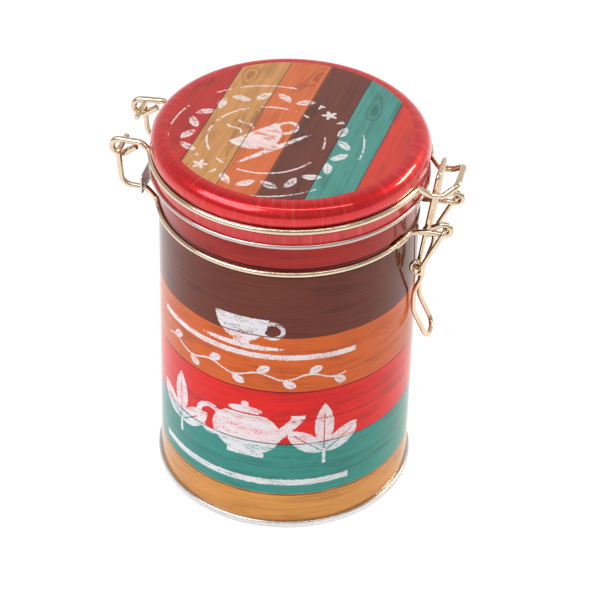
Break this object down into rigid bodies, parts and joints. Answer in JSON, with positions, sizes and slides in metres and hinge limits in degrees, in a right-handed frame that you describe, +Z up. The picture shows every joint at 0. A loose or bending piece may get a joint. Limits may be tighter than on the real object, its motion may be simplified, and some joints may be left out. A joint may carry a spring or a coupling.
{
  "type": "tea caddy",
  "caption": "Round tinplate tea caddy with a hinged cap, a gasket under it and a swing-top wire latch opposite the hinge.",
  "frame": {"origin": "centre of the base, on the plane the can stands on", "axes": "+Z up, +X towards the latch, -X towards the hinge, -Y towards the printed front"},
  "size_m": [0.1069, 0.0864, 0.1244],
  "materials": {
    "printed_body": "glossy varnish over a printed plank pattern",
    "printed_lid": "glossy varnish over a printed plank pattern",
    "tinplate": "bare bright tinplate",
    "plated_wire": "polished, pale warm nickel plating",
    "silicone": "translucent matt silicone"
  },
  "bodies": {
    "can": {"body_shell": "printed_body", "base_plate": "tinplate", "hinge_clip": "tinplate", "neck_wire_left": "plated_wire", "neck_wire_right": "plated_wire", "ear_sleeve_left": "plated_wire", "ear_sleeve_right": "plated_wire"},
    "lid": {"lid_cap": "printed_lid", "lid_gasket": "silicone", "lid_wire": "plated_wire"},
    "lever": {"latch_lever": "plated_wire"},
    "bail": {"latch_bail": "plated_wire"}
  },
  "joints": [
    {"name": "lid_hinge", "type": "hinge", "parent": "can", "child": "lid", "pos_m": [-0.05, 0, 0.1159], "axis": [0, -1, 0], "range_deg": [0, 210]},
    {"name": "lever_pivot", "type": "hinge", "parent": "can", "child": "lever", "pos_m": [0.05, 0, 0.1027], "axis": [0, -1, 0], "range_deg": [0, 85]},
    {"name": "bail_pivot", "type": "hinge", "parent": "lever", "child": "bail", "pos_m": [0.0424, 0, 0.088], "axis": [0, -1, 0], "range_deg": [-39.1, 0]}
  ],
  "couplings": [
    {"joint": "bail_pivot", "follows": "lever_pivot", "ratio": -0.46}
  ]
}
